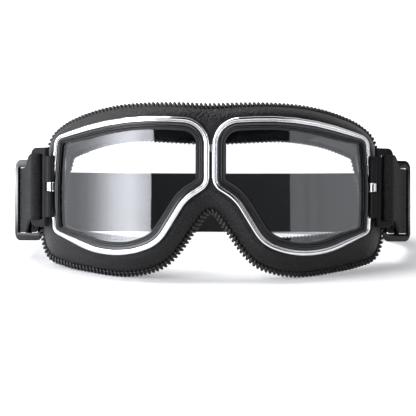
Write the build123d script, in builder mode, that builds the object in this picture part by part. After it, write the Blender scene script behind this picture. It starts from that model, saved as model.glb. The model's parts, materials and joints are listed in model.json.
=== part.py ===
"""Aviator flying goggles: two chrome-rimmed curved lenses in a padded leather mask with a laced
seam, hinged strap brackets, an elastic head strap and two strap sliders.

Millimetres, +Z up, the wearer's face behind the goggles at +Y, so the wearer's left is at +X.
The mask is drawn upright, with the foremost line of its rims at y = 0 and the lowest point of
its seam at z = 0. One placement, seat, then leans it back until the two lower lobes and the
rear edge of the strap stand on one level surface, as the goggles rest on a table.
"""

import os
from math import asin, atan2, cos, degrees, hypot, radians, sin, sqrt, tan

from build123d import *

os.makedirs("parts", exist_ok=True)

# Mask, seen from the front; its seam lies deeper towards the temples
mask_half_width = 90.0
mask_height = 90.0
seam_centre_depth = 9.0
seam_wrap_radius = 88.0

# One eye: the outline of its chrome rim, round the middle of the lens
lens_centre_x = 38.8
lens_centre_z = 47.4
eye_half_width = 44.0
eye_half_height = 36.0
eye_corner_scale = 10.0
face_radius = 95.0
face_axis_x = 14.2

# Shells of the eye, measured from the lens's front surface
rim_rise = 3.0
rim_width = 3.2
rim_edge_radius = 1.0
frame_rise = 1.9
frame_width = 2.9
frame_edge_radius = 0.6
eye_sink = 2.6
gasket_rise = 0.8
gasket_width = 0.9
gasket_lip = 0.7
lens_thickness = 1.8
back_frame_inset = 1.6
back_frame_width = 5.6
back_frame_thickness = 2.6
least_corner_radius = 1.0
part_gap = 0.1
soft_gap = 0.3

# Nose link between the two rims
nose_link_z = 57.5
nose_link_height = 13.0
nose_link_sink = 1.0
nose_link_flange = 1.4
nose_link_thickness = 1.6

# Padded mask
cover_thickness = 1.5
cover_rise = 0.7
cover_bulge = 2.4
cover_tuck = 0.8
cover_taper = 0.35
lining_thickness = 1.0
cushion_bulge = 5.0
lip_depth = 4.5
lip_thickness = 4.0
lace_radius = 1.5
trim_radius = 1.0

# Hinge of a strap bracket
hinge_x = 83.2
hinge_y = 31.2
hinge_z = 46.6
barrel_radius = 2.1
barrel_height = 31.6
knuckle_height = 4.1
knuckle_gap = 0.25
knuckle_tab = 1.8
barrel_web = 2.4
pin_radius = 0.8
pin_clearance = 0.15
pin_fit = 0.02
hinge_clearance = 0.3

# Strap bracket
bracket_angle = 42.0
bracket_length = 14.0
bracket_height = 41.0
bracket_thickness = 2.8
bracket_corner_radius = 3.6
bracket_edge_radius = 0.7
bracket_start = 2.9
base_bar_end = 5.2
strap_bar_at = 11.0
strap_bar_radius = 1.5

# Head strap
strap_width = 33.0
strap_thickness = 1.5
strap_clearance = 0.3
strap_angle = 13.0
strap_split_radius = 61.5
strap_split_gap = 0.5
strap_corner_radius = 46.0
strap_back_radius = 190.0
strap_droop = 6.5
droop_length = 15.0
droop_bend_radius = 18.0
tail_length = 47.0

# Strap slider
slider_at = 27.0
slider_length = 22.0
slider_height = 43.0
slider_thickness = 1.6
slider_tilt = 30.0
slider_corner_radius = 4.5
slider_bar = 2.4
slider_post = 4.0
slider_edge_radius = 0.5

overrun = 20.0
run_share = 0.25

# Plan directions: along a bracket, along the strap behind it, and square to the strap
bracket_out = (cos(radians(bracket_angle)), sin(radians(bracket_angle)))
strap_run = (sin(radians(strap_angle)), cos(radians(strap_angle)))
strap_side = (strap_run[1], -strap_run[0])
layer_offset = strap_bar_radius + strap_clearance + strap_thickness / 2
strap_bar_x = hinge_x + strap_bar_at * bracket_out[0]
strap_bar_y = hinge_y + strap_bar_at * bracket_out[1]
strap_z = hinge_z - strap_droop


def along_strap(behind, aside):
    """A plan point so far behind the strap bar, and so far outboard of the strap's middle."""
    return (
        strap_bar_x + behind * strap_run[0] + aside * strap_side[0],
        strap_bar_y + behind * strap_run[1] + aside * strap_side[1],
    )


def layer_end(aside, radius):
    """How far behind the strap bar a layer meets a circle of this radius round the hinge."""
    x, y = along_strap(0, aside)
    along = (x - hinge_x) * strap_run[0] + (y - hinge_y) * strap_run[1]
    across = (x - hinge_x) * strap_side[0] + (y - hinge_y) * strap_side[1]
    return sqrt(radius**2 - across**2) - along


# The strap's plan behind the split: a corner arc, then one shallow arc across the back
band_start = layer_end(-layer_offset, strap_split_radius)
corner_x, corner_y = along_strap(band_start, -layer_offset - strap_corner_radius)
back_centre_y = corner_y - sqrt((strap_back_radius - strap_corner_radius) ** 2 - corner_x**2)
corner_end_angle = degrees(atan2(corner_y - back_centre_y, corner_x))
strap_rear_y = back_centre_y + strap_back_radius + strap_thickness / 2
strap_low_z = strap_z - strap_width / 2


def seam_depth(x):
    """How far behind the foremost line of the rims the seam lies at this place across."""
    return seam_centre_depth + x**2 / (2 * seam_wrap_radius)


# Stations round the left half of the mask, from the brow at the middle over the temple and the
# cheek to the top of the nose arch: the seam's x and z and the rim side's x and z, as shares of
# the mask's half width and height, then the width of the cushion as a share of its height
wall_shares = (
    (0.000, 0.973, 0.000, 0.873, 0.220),
    (0.167, 0.979, 0.172, 0.893, 0.218),
    (0.356, 0.980, 0.367, 0.903, 0.210),
    (0.532, 0.968, 0.517, 0.893, 0.205),
    (0.718, 0.926, 0.690, 0.853, 0.198),
    (0.860, 0.863, 0.842, 0.812, 0.185),
    (0.930, 0.800, 0.889, 0.765, 0.168),
    (0.964, 0.640, 0.913, 0.645, 0.152),
    (0.976, 0.420, 0.914, 0.450, 0.138),
    (0.986, 0.225, 0.904, 0.278, 0.160),
    (0.946, 0.118, 0.876, 0.246, 0.185),
    (0.845, 0.073, 0.810, 0.218, 0.205),
    (0.690, 0.041, 0.672, 0.168, 0.215),
    (0.489, 0.017, 0.483, 0.135, 0.218),
    (0.363, 0.032, 0.384, 0.147, 0.200),
    (0.261, 0.070, 0.313, 0.184, 0.165),
    (0.172, 0.157, 0.250, 0.258, 0.130),
    (0.094, 0.272, 0.156, 0.400, 0.115),
    (0.000, 0.383, 0.000, 0.506, 0.110),
)
lobe_x = wall_shares[13][0] * mask_half_width
lobe_z = wall_shares[13][1] * mask_height

# Placement: lean back until the lobes and the rear edge of the strap share one level
lobe_y = seam_depth(lobe_x)
rest_length = strap_rear_y - lobe_y
rest_rise = strap_low_z - lobe_z
lean = degrees(atan2(rest_rise, rest_length) + asin(lace_radius / hypot(rest_length, rest_rise)))
lift = lace_radius + lobe_y * sin(radians(lean)) - lobe_z * cos(radians(lean))
front_share = 0.4841  # foremost point of the rims, as a share of the lens centre's rise
front_reach = front_share * lens_centre_z * sin(radians(lean))
rear_reach = strap_rear_y * cos(radians(lean)) + (strap_low_z + strap_width) * sin(radians(lean))
seat = Location((0, -(front_reach + rear_reach) / 2, lift), (-lean, 0, 0))


def seated(plane):
    """This plane of the upright mask, moved to where the mask rests."""
    return Plane(seat * plane.location)


front = seated(Plane.XZ)

# Depths of the eye: every shell is a cylinder round one upright axis
face_axis_y = face_radius + rim_rise
face_axis = seat * Location((face_axis_x, face_axis_y, lens_centre_z))
frame_inset = rim_width + part_gap
gasket_inset = frame_inset + frame_width + part_gap
lens_inset = gasket_inset + gasket_width
sight_inset = lens_inset + gasket_lip
eye_back_radius = face_radius - eye_sink
back_frame_radius = eye_back_radius - part_gap - back_frame_thickness

# The rim's corners as shares of the eye's half width and half height, and their radii as
# shares of the corner scale, from the middle of the temple side round over the brow.
# The one negative radius is the hollow corner beside the nose.
eye_corner_shares = (
    (1.013, -0.028, 22.0),
    (0.959, 0.689, 0.6),
    (0.227, 1.000, 13.6),
    (-0.868, 0.928, 1.4),
    (-0.868, -0.033, 0.8),
    (-0.614, -0.222, -2.2),
    (-0.291, -0.861, 2.0),
    (0.091, -1.022, 4.2),
    (0.500, -0.969, 4.3),
    (0.982, -0.675, 0.55),
)


def eye_face(inset):
    """A face inside the left eye's outline, with every side moved inward by inset."""
    places = [
        (lens_centre_x + x * eye_half_width, lens_centre_z + z * eye_half_height)
        for x, z, radius in eye_corner_shares
    ]
    corners = []
    radii = []
    for index, (x, z) in enumerate(places):
        before = places[index - 1]
        after = places[(index + 1) % len(places)]
        into = hypot(x - before[0], z - before[1])
        out = hypot(after[0] - x, after[1] - z)
        normal_in = ((before[1] - z) / into, (x - before[0]) / into)
        normal_out = ((z - after[1]) / out, (after[0] - x) / out)
        spread = 1 + normal_in[0] * normal_out[0] + normal_in[1] * normal_out[1]
        corners.append(
            (
                x + inset * (normal_in[0] + normal_out[0]) / spread,
                z + inset * (normal_in[1] + normal_out[1]) / spread,
            )
        )
        radius = eye_corner_shares[index][2] * eye_corner_scale
        if radius < 0:
            radii.append(inset - radius)
        else:
            radii.append(max(radius - inset, least_corner_radius))
    with BuildSketch() as outline:
        with BuildLine():
            FilletPolyline(*corners, radius=radii, close=True)
        make_face()
    return outline.sketch


def front_face(solid):
    """The face of a shell that looks forward: the widest cylinder on it."""
    curved = solid.faces().filter_by(GeomType.CYLINDER)
    return max(curved, key=lambda face: face.radius * (face.radius > face_radius / 2))


rim_face = eye_face(0)
rim_inner_face = eye_face(rim_width)
frame_face = eye_face(frame_inset)
frame_inner_face = eye_face(frame_inset + frame_width)
gasket_face = eye_face(gasket_inset)
groove_face = eye_face(lens_inset - part_gap)
lens_face = eye_face(lens_inset)
sight_face = eye_face(sight_inset)
back_frame_face = eye_face(back_frame_inset)
back_frame_inner_face = eye_face(back_frame_inset + back_frame_width)
envelope_face = eye_face(-soft_gap)

hinge_axis = seat * Location((hinge_x, hinge_y, hinge_z))
notch_radius = barrel_radius + hinge_clearance
notch_height = barrel_height + 2 * hinge_clearance

with BuildPart() as left_rim:
    with BuildSketch(front):
        add(rim_face)
        add(rim_inner_face, mode=Mode.SUBTRACT)
    extrude(amount=-face_axis_y)
    with Locations(face_axis):
        Cylinder(face_radius + rim_rise, 2 * mask_height, mode=Mode.INTERSECT)
        Cylinder(eye_back_radius, 2 * mask_height, mode=Mode.SUBTRACT)
    fillet(front_face(left_rim).edges(), rim_edge_radius)
    with Locations(hinge_axis):
        Cylinder(notch_radius, notch_height, mode=Mode.SUBTRACT)
left_rim.part.label = "left_rim"

with BuildPart() as left_lens_frame:
    with BuildSketch(front):
        add(frame_face)
        add(frame_inner_face, mode=Mode.SUBTRACT)
    extrude(amount=-face_axis_y)
    with Locations(face_axis):
        Cylinder(face_radius + frame_rise, 2 * mask_height, mode=Mode.INTERSECT)
        Cylinder(eye_back_radius, 2 * mask_height, mode=Mode.SUBTRACT)
    fillet(front_face(left_lens_frame).edges(), frame_edge_radius)
left_lens_frame.part.label = "left_lens_frame"

# The groove of the gasket that the lens's edge sits in
with BuildPart() as lens_groove:
    with BuildSketch(front):
        add(groove_face)
    extrude(amount=-face_axis_y)
    with Locations(face_axis):
        Cylinder(face_radius + part_gap, 2 * mask_height, mode=Mode.INTERSECT)
        Cylinder(face_radius - lens_thickness - part_gap, 2 * mask_height, mode=Mode.SUBTRACT)

with BuildPart() as left_gasket:
    with BuildSketch(front):
        add(gasket_face)
        add(sight_face, mode=Mode.SUBTRACT)
    extrude(amount=-face_axis_y)
    with Locations(face_axis):
        Cylinder(face_radius + gasket_rise, 2 * mask_height, mode=Mode.INTERSECT)
        Cylinder(eye_back_radius, 2 * mask_height, mode=Mode.SUBTRACT)
    add(lens_groove.part, mode=Mode.SUBTRACT)
left_gasket.part.label = "left_gasket"

with BuildPart() as left_lens:
    with BuildSketch(front):
        add(lens_face)
    extrude(amount=-face_axis_y)
    with Locations(face_axis):
        Cylinder(face_radius, 2 * mask_height, mode=Mode.INTERSECT)
        Cylinder(face_radius - lens_thickness, 2 * mask_height, mode=Mode.SUBTRACT)
left_lens.part.label = "left_lens"

with BuildPart() as left_back_frame:
    with BuildSketch(front):
        add(back_frame_face)
        add(back_frame_inner_face, mode=Mode.SUBTRACT)
    extrude(amount=-face_axis_y)
    with Locations(face_axis):
        Cylinder(eye_back_radius - part_gap, 2 * mask_height, mode=Mode.INTERSECT)
        Cylinder(back_frame_radius, 2 * mask_height, mode=Mode.SUBTRACT)
left_back_frame.part.label = "left_back_frame"


def face_y(radius, x):
    """The depth of the cylinder of this radius round the face axis, at this place across."""
    return face_axis_y - sqrt(radius**2 - (x - face_axis_x) ** 2)


# The link that ties the rims together at the nose: a web between them and a flange behind
nose_gap = lens_centre_x + eye_corner_shares[4][0] * eye_half_width
link_web = nose_gap - part_gap
link_front_y = face_y(face_radius + rim_rise - nose_link_sink, 0)
link_back_y = face_y(eye_back_radius - part_gap, 0)
with BuildPart() as nose_link:
    with BuildSketch(seated(Plane.XY.offset(nose_link_z))):
        with BuildLine():
            Polyline(
                (-link_web, link_front_y),
                (link_web, link_front_y),
                (link_web, link_back_y),
                (link_web + nose_link_flange, link_back_y),
                (link_web + nose_link_flange, link_back_y + nose_link_thickness),
                (-link_web - nose_link_flange, link_back_y + nose_link_thickness),
                (-link_web - nose_link_flange, link_back_y),
                (-link_web, link_back_y),
                close=True,
            )
        make_face()
    extrude(amount=nose_link_height / 2, both=True)
nose_link.part.label = "nose_link"

# Hinge of the left bracket: a knuckle held in the rim's notch, and the pin through it
tab_reach = sqrt(notch_radius**2 - knuckle_tab**2 / 4) - part_gap / 2
with BuildPart() as left_hinge_knuckle:
    with Locations(hinge_axis):
        Cylinder(barrel_radius, knuckle_height)
        Box(
            tab_reach,
            knuckle_tab,
            knuckle_height,
            align=(Align.MAX, Align.CENTER, Align.CENTER),
        )
        Cylinder(pin_radius + pin_fit, knuckle_height, mode=Mode.SUBTRACT)
left_hinge_knuckle.part.label = "left_hinge_knuckle"

with BuildPart() as left_hinge_pin:
    with Locations(hinge_axis):
        Cylinder(pin_radius, barrel_height)
left_hinge_pin.part.label = "left_hinge_pin"

bracket_plane = seated(
    Plane(
        origin=(hinge_x, hinge_y, hinge_z),
        x_dir=(bracket_out[0], bracket_out[1], 0),
        z_dir=(bracket_out[1], -bracket_out[0], 0),
    )
)
bracket_front = Axis(bracket_plane.origin, bracket_plane.z_dir)
strap_bar_axis = seat * Location((strap_bar_x, strap_bar_y, hinge_z))
slot_height = strap_width + 2 * strap_clearance
barrel_length = (barrel_height - knuckle_height) / 2 - knuckle_gap
barrel_middle = (barrel_height - barrel_length) / 2
with BuildPart() as left_bracket:
    with BuildSketch(bracket_plane) as plate:
        with BuildLine():
            Polyline(
                (bracket_start, -bracket_height / 2),
                (bracket_length, -bracket_height / 2),
                (bracket_length, -slot_height / 2),
                (base_bar_end, -slot_height / 2),
                (base_bar_end, slot_height / 2),
                (bracket_length, slot_height / 2),
                (bracket_length, bracket_height / 2),
                (bracket_start, bracket_height / 2),
                close=True,
            )
        make_face()
        outer_corners = plate.vertices().group_by(Axis.X)[-1].sort_by(Axis.Y)
        fillet((outer_corners[0], outer_corners[-1]), bracket_corner_radius)
    extrude(amount=bracket_thickness / 2, both=True)
    fillet(left_bracket.faces().sort_by(bracket_front)[-1].edges(), bracket_edge_radius)
    with BuildSketch(bracket_plane):
        with Locations((0, barrel_middle), (0, -barrel_middle)):
            Rectangle(base_bar_end, barrel_length, align=(Align.MIN, Align.CENTER))
    extrude(amount=barrel_web / 2, both=True)
    with Locations(strap_bar_axis):
        Cylinder(strap_bar_radius, slot_height + bracket_edge_radius)
    with BuildSketch(seated(Plane.XY.offset(hinge_z))):
        with Locations((hinge_x, hinge_y)):
            Circle(barrel_radius)
    extrude(amount=barrel_height / 2, both=True)
    with Locations(hinge_axis):
        Cylinder(notch_radius, knuckle_height + 2 * knuckle_gap, mode=Mode.SUBTRACT)
        Cylinder(pin_radius + pin_clearance, barrel_height, mode=Mode.SUBTRACT)
left_bracket.part.label = "left_bracket"

# The end of the strap: a loop round the strap bar whose inner layer is the main strap and whose
# outer layer is the free tail. Its side view drops from the bar's height to the strap's own.
strap_plan = seated(
    Plane(
        origin=(strap_bar_x, strap_bar_y, strap_low_z - overrun),
        x_dir=(strap_run[0], strap_run[1], 0),
        z_dir=(0, 0, 1),
    )
)
loop_radius = layer_offset + strap_thickness / 2
side_view = seated(Plane.YZ)
droop_start_y = strap_bar_y + layer_offset + strap_thickness
droop_end_y = droop_start_y + droop_length
strap_far_y = along_strap(tail_length + band_start, 0)[1]
bar_low_z = hinge_z - strap_width / 2
droop_points = (
    (strap_bar_y - overrun, bar_low_z),
    (droop_start_y, bar_low_z),
    (droop_end_y, strap_low_z),
    (strap_far_y, strap_low_z),
    (strap_far_y, strap_low_z + strap_width),
    (droop_end_y, strap_low_z + strap_width),
    (droop_start_y, bar_low_z + strap_width),
    (strap_bar_y - overrun, bar_low_z + strap_width),
)
droop_edge_radii = (0, droop_bend_radius, droop_bend_radius, 0)
layer_align = (Align.MIN, Align.CENTER)
with BuildPart() as left_strap_end:
    with BuildSketch(strap_plan):
        Circle(loop_radius)
        Circle(loop_radius - strap_thickness, mode=Mode.SUBTRACT)
        Rectangle(loop_radius, 2 * loop_radius, align=layer_align, mode=Mode.SUBTRACT)
        with Locations((0, -layer_offset)):
            Rectangle(tail_length, strap_thickness, align=layer_align)
        with Locations((0, layer_offset)):
            Rectangle(band_start - strap_split_gap, strap_thickness, align=layer_align)
    extrude(amount=strap_width + 2 * overrun)
    with BuildSketch(side_view):
        with BuildLine():
            FilletPolyline(*droop_points, radius=2 * droop_edge_radii, close=True)
        make_face()
    extrude(amount=2 * mask_half_width, mode=Mode.INTERSECT)
left_strap_end.part.label = "left_strap_end"

corner_turn = corner_end_angle + strap_angle
back_turn = 180 - 2 * corner_end_angle
back_end_angle = 180 - corner_end_angle
with BuildPart() as strap_band:
    with BuildSketch(seated(Plane.XY.offset(strap_low_z))):
        with BuildLine():
            CenterArc((corner_x, corner_y), strap_corner_radius, -strap_angle, corner_turn)
            CenterArc((0, back_centre_y), strap_back_radius, corner_end_angle, back_turn)
            CenterArc((-corner_x, corner_y), strap_corner_radius, back_end_angle, corner_turn)
        trace(line_width=strap_thickness)
    extrude(amount=strap_width)
strap_band.part.label = "strap_band"

# Strap slider: a flat frame with two windows round a middle bar, threaded on both layers
slider_angle = strap_angle + slider_tilt
slider_along = (sin(radians(slider_angle)), cos(radians(slider_angle)))
slider_x, slider_y = along_strap(slider_at, 0)
slider_plane = seated(
    Plane(
        origin=(slider_x, slider_y, strap_z),
        x_dir=(slider_along[0], slider_along[1], 0),
        z_dir=(slider_along[1], -slider_along[0], 0),
    )
)
slider_front = Axis(slider_plane.origin, slider_plane.z_dir)
window_length = (slider_length - 3 * slider_bar) / 2
window_height = slider_height - 2 * slider_post
with BuildPart() as left_slider:
    with BuildSketch(slider_plane):
        RectangleRounded(slider_length, slider_height, slider_corner_radius)
        with GridLocations(window_length + slider_bar, 0, 2, 1):
            Rectangle(window_length, window_height, mode=Mode.SUBTRACT)
    extrude(amount=slider_thickness / 2, both=True)
    fillet(left_slider.faces().sort_by(slider_front)[-1].edges(), slider_edge_radius)
left_slider.part.label = "left_slider"

# Padded mask: leather cover in front, lining behind and foam between. Each is lofted through the
# stations of the left half, cut clear of the eye and the bracket hinge, and mirrored.


def seam_place(station):
    """The seam's x and z at a station."""
    return station[0] * mask_half_width, station[1] * mask_height


def inward(station):
    """The unit direction, across and up, from the seam towards the rim at a station."""
    x, z = seam_place(station)
    across = station[2] * mask_half_width - x
    up = station[3] * mask_height - z
    return across / hypot(across, up), up / hypot(across, up)


def station_plane(station):
    """The plane of a station's section: x inward from the seam, y towards the face."""
    x, z = seam_place(station)
    across, up = inward(station)
    return seated(Plane((x, seam_depth(x), z), x_dir=(across, 0, up), z_dir=(-up, 0, across)))


def cover_line(station, depth):
    """Three points of an arc on the cover's section, so far below its outer surface."""
    x, z = seam_place(station)
    rim_x = station[2] * mask_half_width
    reach = hypot(rim_x - x, station[3] * mask_height - z) + cover_tuck
    drop = face_y(face_radius + cover_rise, abs(rim_x)) - seam_depth(x)
    start = lace_radius + 2 * soft_gap
    length = hypot(reach - start, drop)
    out_p = drop / length
    out_q = -(reach - start) / length
    middle_p = (start + reach) / 2 + (cover_bulge - depth) * out_p
    middle_q = drop / 2 + (cover_bulge - depth) * out_q
    return (
        (start + depth, -soft_gap / 2),
        (middle_p, middle_q),
        (reach, drop + depth / max(-out_q, cover_taper)),
    )


def lining_line(station, depth):
    """Three points of an arc on the lining's section, so far below its outer surface."""
    start = lace_radius + 4 * soft_gap
    reach = station[4] * mask_height - 2 * trim_radius - 2 * soft_gap
    return (
        (start + depth, soft_gap / 2),
        ((start + reach) / 2, lip_depth / 2 + cushion_bulge - depth),
        (reach, lip_depth - depth),
    )


# What the left eye and the left bracket hinge take out of the soft parts
with BuildPart() as eye_clearance:
    with BuildSketch(front):
        add(envelope_face)
    extrude(amount=-face_axis_y)
    with Locations(face_axis):
        Cylinder(back_frame_radius - soft_gap, 2 * mask_height, mode=Mode.SUBTRACT)
    with Locations(hinge_axis):
        Cylinder(notch_radius + soft_gap, notch_height)

with BuildPart() as cover_half:
    for station in wall_shares:
        outer = cover_line(station, 0)
        inner = cover_line(station, cover_thickness)
        with BuildSketch(station_plane(station)):
            with BuildLine():
                ThreePointArc(*outer)
                Line(outer[2], inner[2])
                ThreePointArc(inner[2], inner[1], inner[0])
                Line(inner[0], outer[0])
            make_face()
    loft(ruled=True)
    add(eye_clearance.part, mode=Mode.SUBTRACT)

with BuildPart() as lining_half:
    for station in wall_shares:
        outer = lining_line(station, 0)
        inner = lining_line(station, lining_thickness)
        with BuildSketch(station_plane(station)):
            with BuildLine():
                ThreePointArc(*outer)
                Line(outer[2], inner[2])
                ThreePointArc(inner[2], inner[1], inner[0])
                Line(inner[0], outer[0])
            make_face()
    loft(ruled=True)

with BuildPart() as pad_half:
    for station in wall_shares:
        cover = cover_line(station, cover_thickness + 2 * soft_gap)
        lining = lining_line(station, lining_thickness + 2 * soft_gap)
        root = (lace_radius + lip_thickness, 0)
        rim_x = station[2] * mask_half_width
        eye_back = face_y(back_frame_radius - soft_gap, abs(rim_x)) - seam_depth(rim_x)
        lip_front = (lining[2][0], max(eye_back, lip_depth - lip_thickness))
        with BuildSketch(station_plane(station)):
            with BuildLine():
                ThreePointArc(root, cover[1], cover[2])
                Line(cover[2], (cover[2][0], eye_back))
                Line((cover[2][0], eye_back), lip_front)
                Line(lip_front, lining[2])
                ThreePointArc(lining[2], lining[1], root)
            make_face()
    loft(ruled=True)
    add(eye_clearance.part, mode=Mode.SUBTRACT)

# The leather between the rims, over the nose
web_top_z = wall_shares[0][3] * mask_height
web_low_z = wall_shares[-1][3] * mask_height
web_reach = lens_centre_x - eye_half_width / 2
with BuildPart() as web_half:
    with BuildSketch(front):
        with BuildLine():
            Polyline(
                (0, web_low_z - cover_tuck),
                (web_reach, web_low_z - cover_tuck),
                (web_reach, web_top_z + cover_tuck),
                (0, web_top_z + cover_tuck),
                close=True,
            )
        make_face()
    extrude(amount=-face_axis_y)
    with Locations(face_axis):
        Cylinder(face_radius + cover_rise, 2 * mask_height, mode=Mode.INTERSECT)
        Cylinder(face_radius + cover_rise - cover_thickness, 2 * mask_height, mode=Mode.SUBTRACT)
    add(eye_clearance.part, mode=Mode.SUBTRACT)
    with BuildSketch(front):
        with Locations((0, nose_link_z)):
            Rectangle(2 * nose_gap, nose_link_height + 2 * soft_gap)
    extrude(amount=-face_axis_y, mode=Mode.SUBTRACT)

with BuildPart() as leather_cover:
    add(cover_half.part)
    add(web_half.part)
    mirror(about=Plane.YZ)
leather_cover.part.label = "leather_cover"

with BuildPart() as face_pad:
    add(pad_half.part)
    mirror(about=Plane.YZ)
face_pad.part.label = "face_pad"

with BuildPart() as face_lining:
    add(lining_half.part)
    mirror(about=Plane.YZ)
face_lining.part.label = "face_lining"


def bend_radii(points, least):
    """For each corner of a closed path, the largest radius that both of its runs allow."""
    radii = []
    for index, point in enumerate(points):
        run_in = Vector(*point) - Vector(*points[index - 1])
        run_out = Vector(*points[(index + 1) % len(points)]) - Vector(*point)
        turn = radians(run_in.get_angle(run_out))
        shorter = min(run_in.length, run_out.length)
        radii.append(max(run_share * shorter / tan(turn / 2), least))
    return radii


def ring_path(inset, behind):
    """Points of a closed path round the whole mask, so far inward of the seam and behind it."""
    half = []
    for station in wall_shares:
        x, z = seam_place(station)
        across, up = inward(station)
        reach = inset(station)
        half.append((x + reach * across, seam_depth(x) + behind, z + reach * up))
    return half + [(-x, y, z) for x, y, z in half[-2:0:-1]]


# The laced seam round the outside of the mask, and the trim round its opening to the face
lace_path = ring_path(lambda station: 0, 0)
trim_path = ring_path(lambda station: station[4] * mask_height - trim_radius, lip_depth)
upright = seated(Plane.XY)

with BuildPart() as seam_lace:
    with BuildLine(upright) as lace_line:
        FilletPolyline(*lace_path, radius=bend_radii(lace_path, lace_radius), close=True)
    with BuildSketch(Plane(lace_line.line @ 0, z_dir=lace_line.line % 0)):
        Circle(lace_radius)
    sweep()
seam_lace.part.label = "seam_lace"

with BuildPart() as opening_trim:
    with BuildLine(upright) as trim_line:
        FilletPolyline(*trim_path, radius=bend_radii(trim_path, trim_radius), close=True)
    with BuildSketch(Plane(trim_line.line @ 0, z_dir=trim_line.line % 0)):
        Circle(trim_radius)
    sweep()
opening_trim.part.label = "opening_trim"

# Everything on the wearer's left has a mirror image on the right
left_pieces = (
    left_rim,
    left_lens_frame,
    left_gasket,
    left_lens,
    left_back_frame,
    left_hinge_knuckle,
    left_hinge_pin,
    left_bracket,
    left_strap_end,
    left_slider,
)
middle_pieces = (
    nose_link,
    leather_cover,
    face_pad,
    face_lining,
    seam_lace,
    opening_trim,
    strap_band,
)
for piece in left_pieces:
    with BuildPart() as right_piece:
        mirror(piece.part, about=Plane.YZ)
    right_piece.part.label = piece.part.label.replace("left", "right")
    export_step(right_piece.part, f"parts/{right_piece.part.label}.step")
for piece in left_pieces + middle_pieces:
    export_step(piece.part, f"parts/{piece.part.label}.step")
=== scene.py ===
"""Aviator flying goggles, dressed for rendering: chrome rims, a padded leather mask with a laced
seam, woven strap, hinged brackets and sliders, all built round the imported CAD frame."""

import json
from math import asin, atan2, ceil, cos, exp, hypot, pi, radians, sin, sqrt, tan

import bmesh
import bpy
from bpy.props import FloatProperty, FloatVectorProperty, IntProperty, PointerProperty
from bpy.types import Operator, Panel, PropertyGroup
from mathutils import Matrix, Vector
from mathutils.kdtree import KDTree


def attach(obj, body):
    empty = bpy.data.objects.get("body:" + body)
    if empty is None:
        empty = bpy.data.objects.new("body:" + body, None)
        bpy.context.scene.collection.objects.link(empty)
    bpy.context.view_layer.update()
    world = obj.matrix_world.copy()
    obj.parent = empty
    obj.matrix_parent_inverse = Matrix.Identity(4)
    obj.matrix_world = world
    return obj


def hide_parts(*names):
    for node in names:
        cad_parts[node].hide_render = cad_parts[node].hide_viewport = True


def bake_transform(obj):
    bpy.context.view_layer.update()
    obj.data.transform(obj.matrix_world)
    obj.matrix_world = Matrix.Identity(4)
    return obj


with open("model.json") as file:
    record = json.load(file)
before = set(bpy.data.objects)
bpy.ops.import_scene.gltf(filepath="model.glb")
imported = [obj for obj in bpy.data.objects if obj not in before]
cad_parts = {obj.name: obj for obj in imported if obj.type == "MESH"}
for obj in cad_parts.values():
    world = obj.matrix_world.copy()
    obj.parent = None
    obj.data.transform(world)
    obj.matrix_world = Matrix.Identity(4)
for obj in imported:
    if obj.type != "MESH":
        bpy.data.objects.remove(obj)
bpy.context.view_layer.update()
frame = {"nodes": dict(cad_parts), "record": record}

bl_info = {
    "name": "Flying goggles",
    "version": (1, 0, 0),
    "blender": (4, 5, 0),
    "location": "View3D > Sidebar > Goggles",
    "description": "Builds and dresses a pair of laced leather flying goggles on its CAD frame",
    "category": "Add Mesh",
}

MM = 0.001
MERGE_REACH = 0.002 * MM
SIDES = (("left", 1), ("right", -1))

# The upright mask's own frame, in millimetres, is leaned back to where the goggles rest
HINGE = Vector((83.2, 31.2, 46.6))
JOINTS = {joint["name"]: joint for joint in frame["record"]["behaviour"]["joints"]}
HINGE_JOINT = JOINTS["left_bracket_hinge"]
LEAN = asin(-Vector(HINGE_JOINT["axis"]).normalized().y)
SEAT = (
    Matrix.Translation(HINGE_JOINT["pos_m"])
    @ Matrix.Rotation(-LEAN, 4, "X")
    @ Matrix.Scale(MM, 4)
    @ Matrix.Translation(-HINGE)
)

# Sizes from here to the stage are in millimetres, and angles in radians. The mask
HALF_WIDTH = 90.0
HEIGHT = 90.0
SEAM_DEPTH = 9.0
SEAM_WRAP = 88.0
FACE_AXIS = (14.2, 98.0)

# The seam's x and z and the rim side's x and z, as shares of the half width and the height, and
# the cushion's width as a share of the height, from the forehead round the left eye to the nose
STATIONS = (
    (0.000, 0.973, 0.000, 0.873, 0.220), (0.167, 0.979, 0.172, 0.893, 0.218),
    (0.356, 0.980, 0.367, 0.903, 0.210), (0.532, 0.968, 0.517, 0.893, 0.205),
    (0.718, 0.926, 0.690, 0.853, 0.198), (0.860, 0.863, 0.842, 0.812, 0.185),
    (0.930, 0.800, 0.889, 0.765, 0.168), (0.964, 0.640, 0.913, 0.645, 0.152),
    (0.976, 0.420, 0.914, 0.450, 0.138), (0.986, 0.225, 0.904, 0.278, 0.160),
    (0.946, 0.118, 0.876, 0.246, 0.185), (0.845, 0.073, 0.810, 0.218, 0.205),
    (0.690, 0.041, 0.672, 0.168, 0.215), (0.489, 0.017, 0.483, 0.135, 0.218),
    (0.363, 0.032, 0.384, 0.147, 0.200), (0.261, 0.070, 0.313, 0.184, 0.165),
    (0.172, 0.157, 0.250, 0.258, 0.130), (0.094, 0.272, 0.156, 0.400, 0.115),
    (0.000, 0.383, 0.000, 0.506, 0.110),
)
# The seam is measured in fine steps, and curves through the stations are evened out in passes
FINE_STEPS = 2000
EVENING_PASSES = 6

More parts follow.
